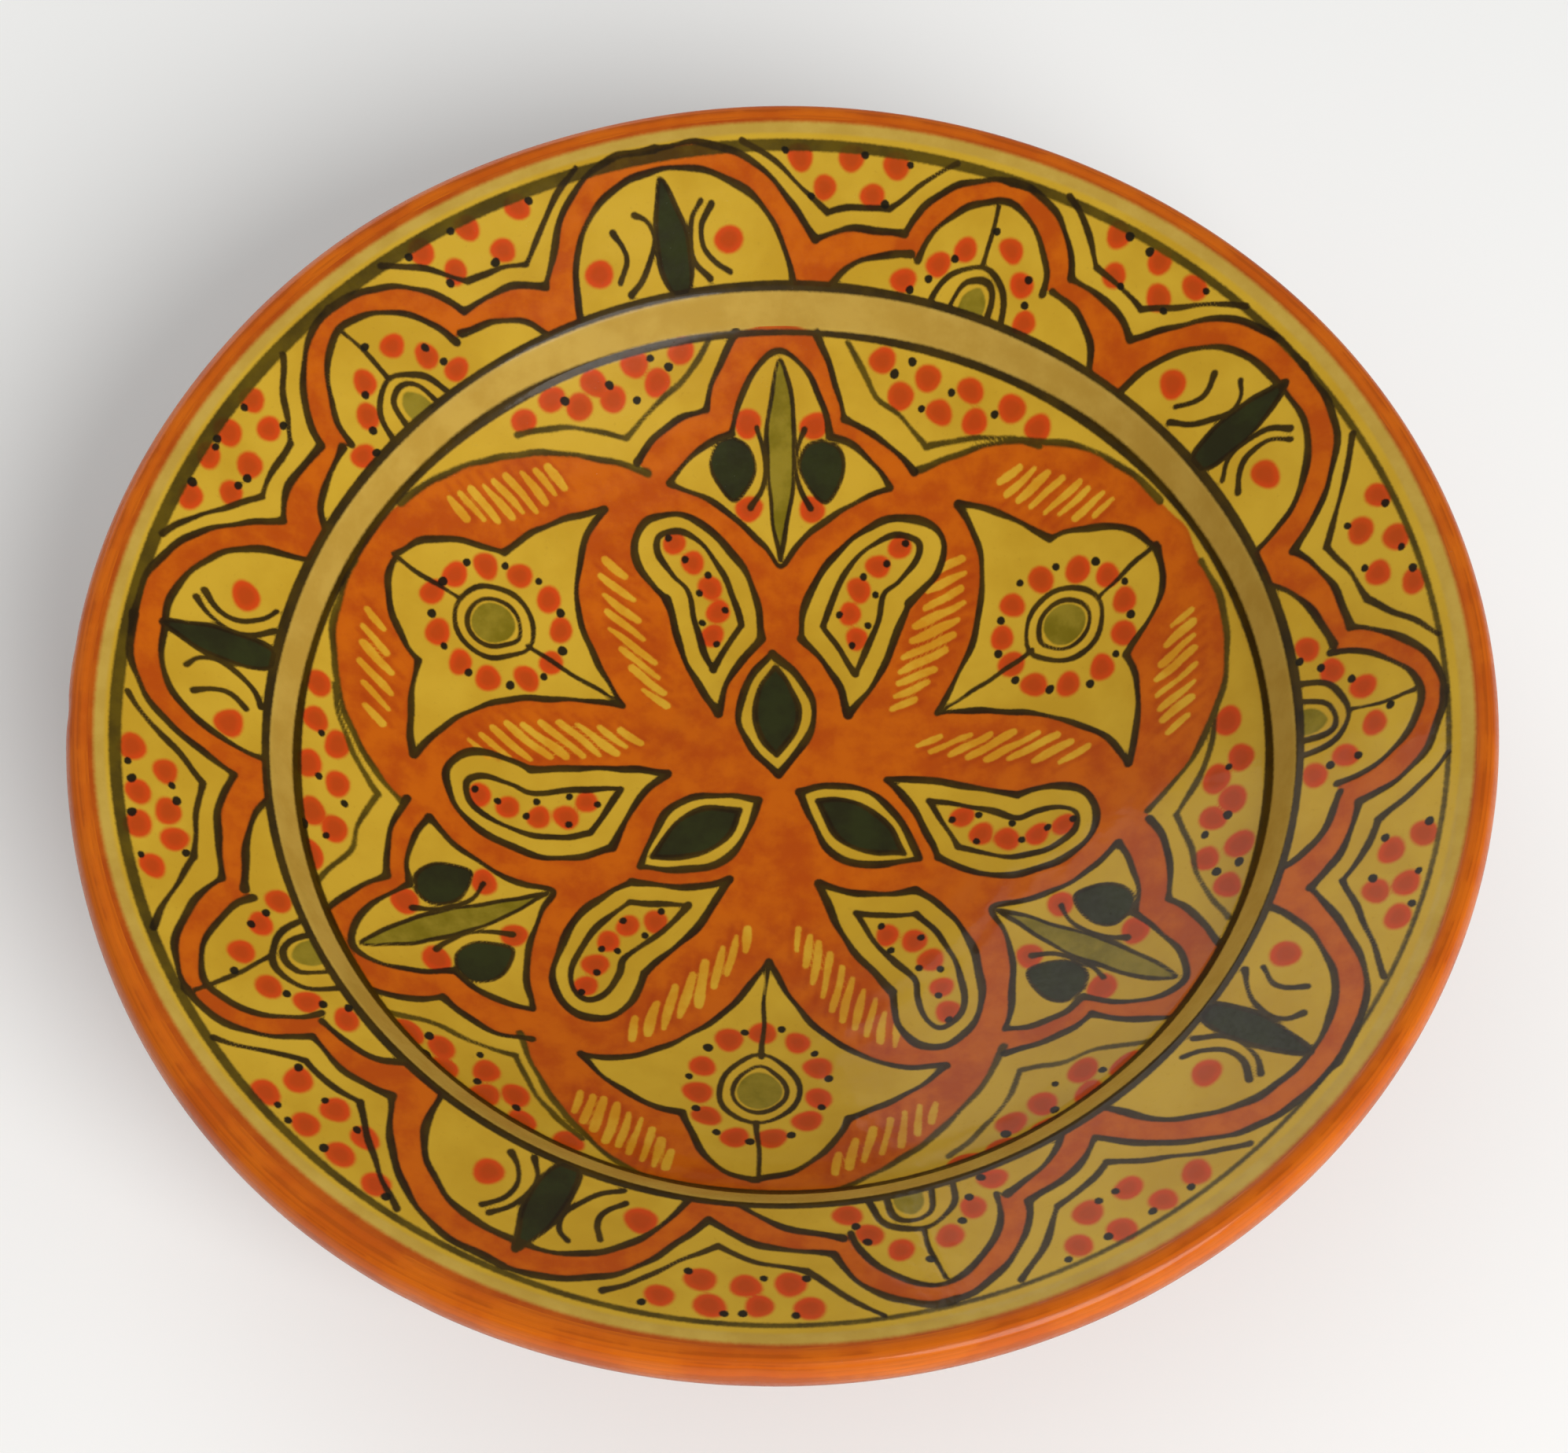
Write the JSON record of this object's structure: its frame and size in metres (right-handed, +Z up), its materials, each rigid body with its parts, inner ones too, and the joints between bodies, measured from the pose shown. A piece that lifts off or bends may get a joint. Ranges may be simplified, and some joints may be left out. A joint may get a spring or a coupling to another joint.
{
  "type": "hand painted ceramic plate",
  "caption": "Deep round earthenware plate with a rolled lip, sloping flange, stepped well and foot ring, glazed and hand painted with lobed bands, petals, leaves and dots.",
  "frame": {"origin": "centre of the plane that the foot ring rests on", "axes": "+Z up along the plate's axis of turning, towards the open side; +X and +Y in the resting plane, +Y towards the top of the picture, where one of the five lobes with a long dark leaf lies 13 degrees from +Y towards -X"},
  "size_m": [0.3, 0.3, 0.072],
  "materials": {
    "fired_clay": "unglazed red earthenware, matte, with fine turning lines; a guess from the worn places on the lip",
    "foot_clay": null,
    "well_glaze": "glossy yellow glaze painted in orange, olive, dark green and black",
    "ledge_glaze": "glossy ochre glaze between two dark lines",
    "flange_glaze": "glossy yellow glaze painted with an orange lobed band, leaves and dots",
    "rim_glaze": "glossy orange glaze, worn and chipped in places",
    "back_glaze": null
  },
  "bodies": {
    "root": {"clay_body": "fired_clay", "foot_ring": "foot_clay", "well_glaze": "well_glaze", "ledge_glaze": "ledge_glaze", "flange_glaze": "flange_glaze", "rim_glaze": "rim_glaze", "back_glaze": "back_glaze"}
  },
  "joints": []
}
